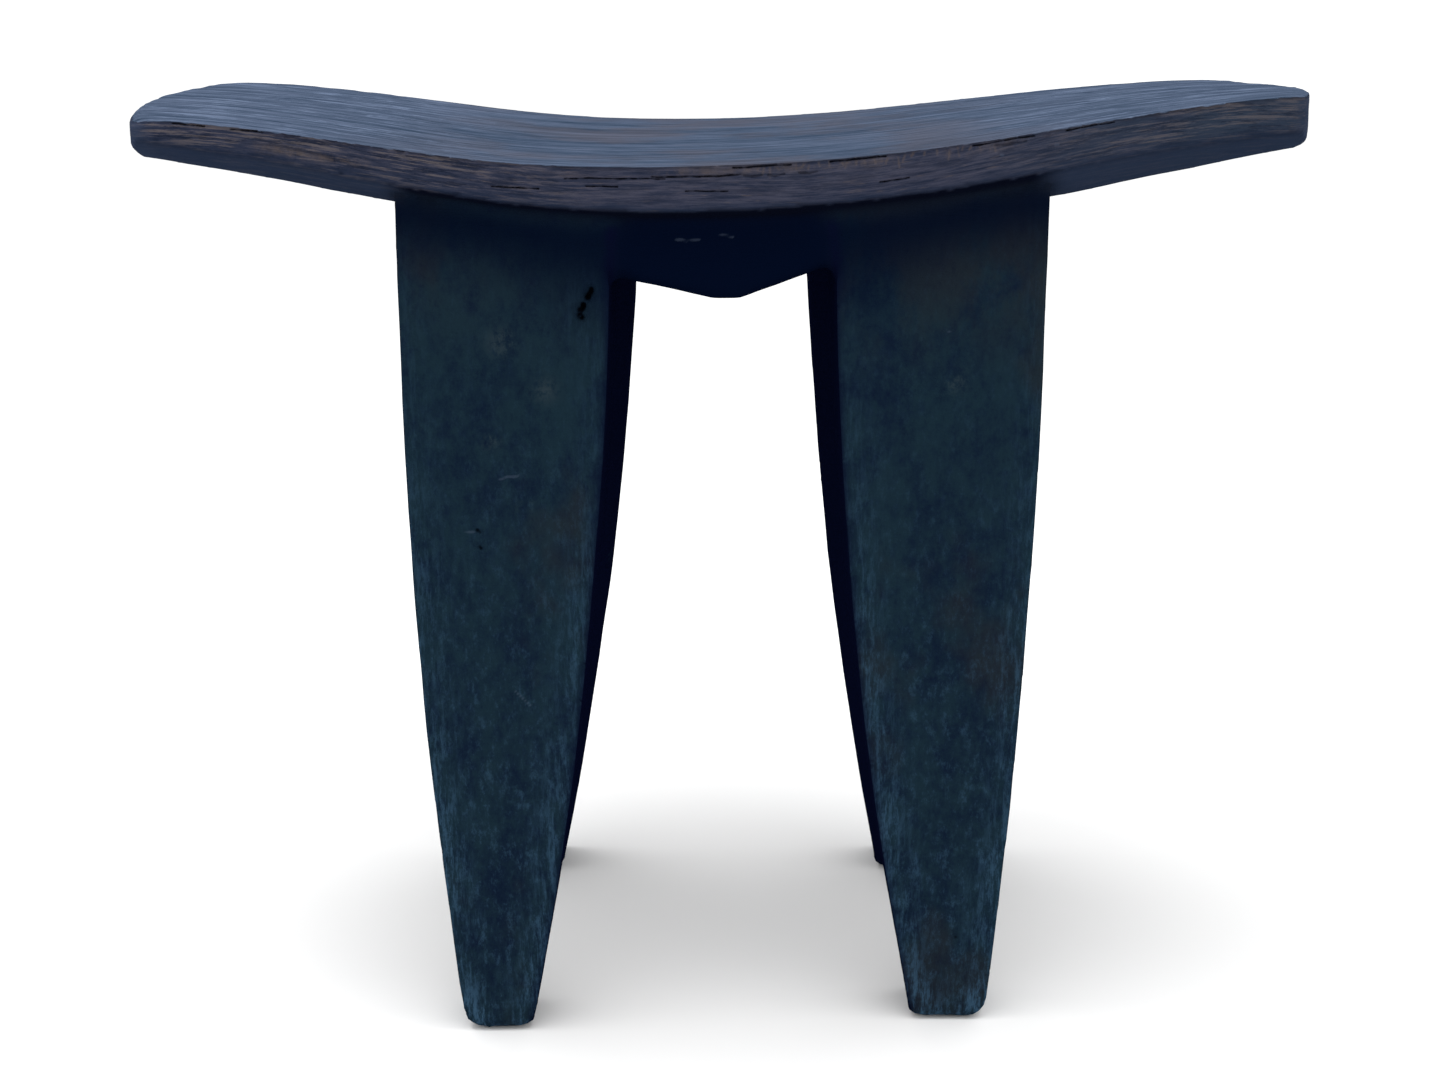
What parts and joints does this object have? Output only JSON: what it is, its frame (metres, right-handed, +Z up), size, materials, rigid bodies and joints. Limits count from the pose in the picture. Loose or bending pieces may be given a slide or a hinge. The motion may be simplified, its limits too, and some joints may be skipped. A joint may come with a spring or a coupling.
{
  "type": "carved stool headrest",
  "caption": "Low carved wooden stool or headrest: saddle-curved rectangular seat with bowed ends, deep belly under it and tapering legs, dyed black.",
  "frame": {"origin": "on the floor, under the middle of the seat", "axes": "+X along the seat's length to the right, +Y to the rear, +Z up"},
  "size_m": [0.49, 0.24, 0.3968],
  "materials": {
    "seat_wood": "black dye, dry and dusty, worn to brown along the edges",
    "belly_wood": "black dye, unworn",
    "leg_wood": "black dye, matt, knife-finished"
  },
  "bodies": {
    "root": {"seat": "seat_wood", "belly": "belly_wood", "leg_front_left": "leg_wood", "leg_front_right": "leg_wood", "leg_rear_left": "leg_wood", "leg_rear_right": "leg_wood"}
  },
  "joints": []
}
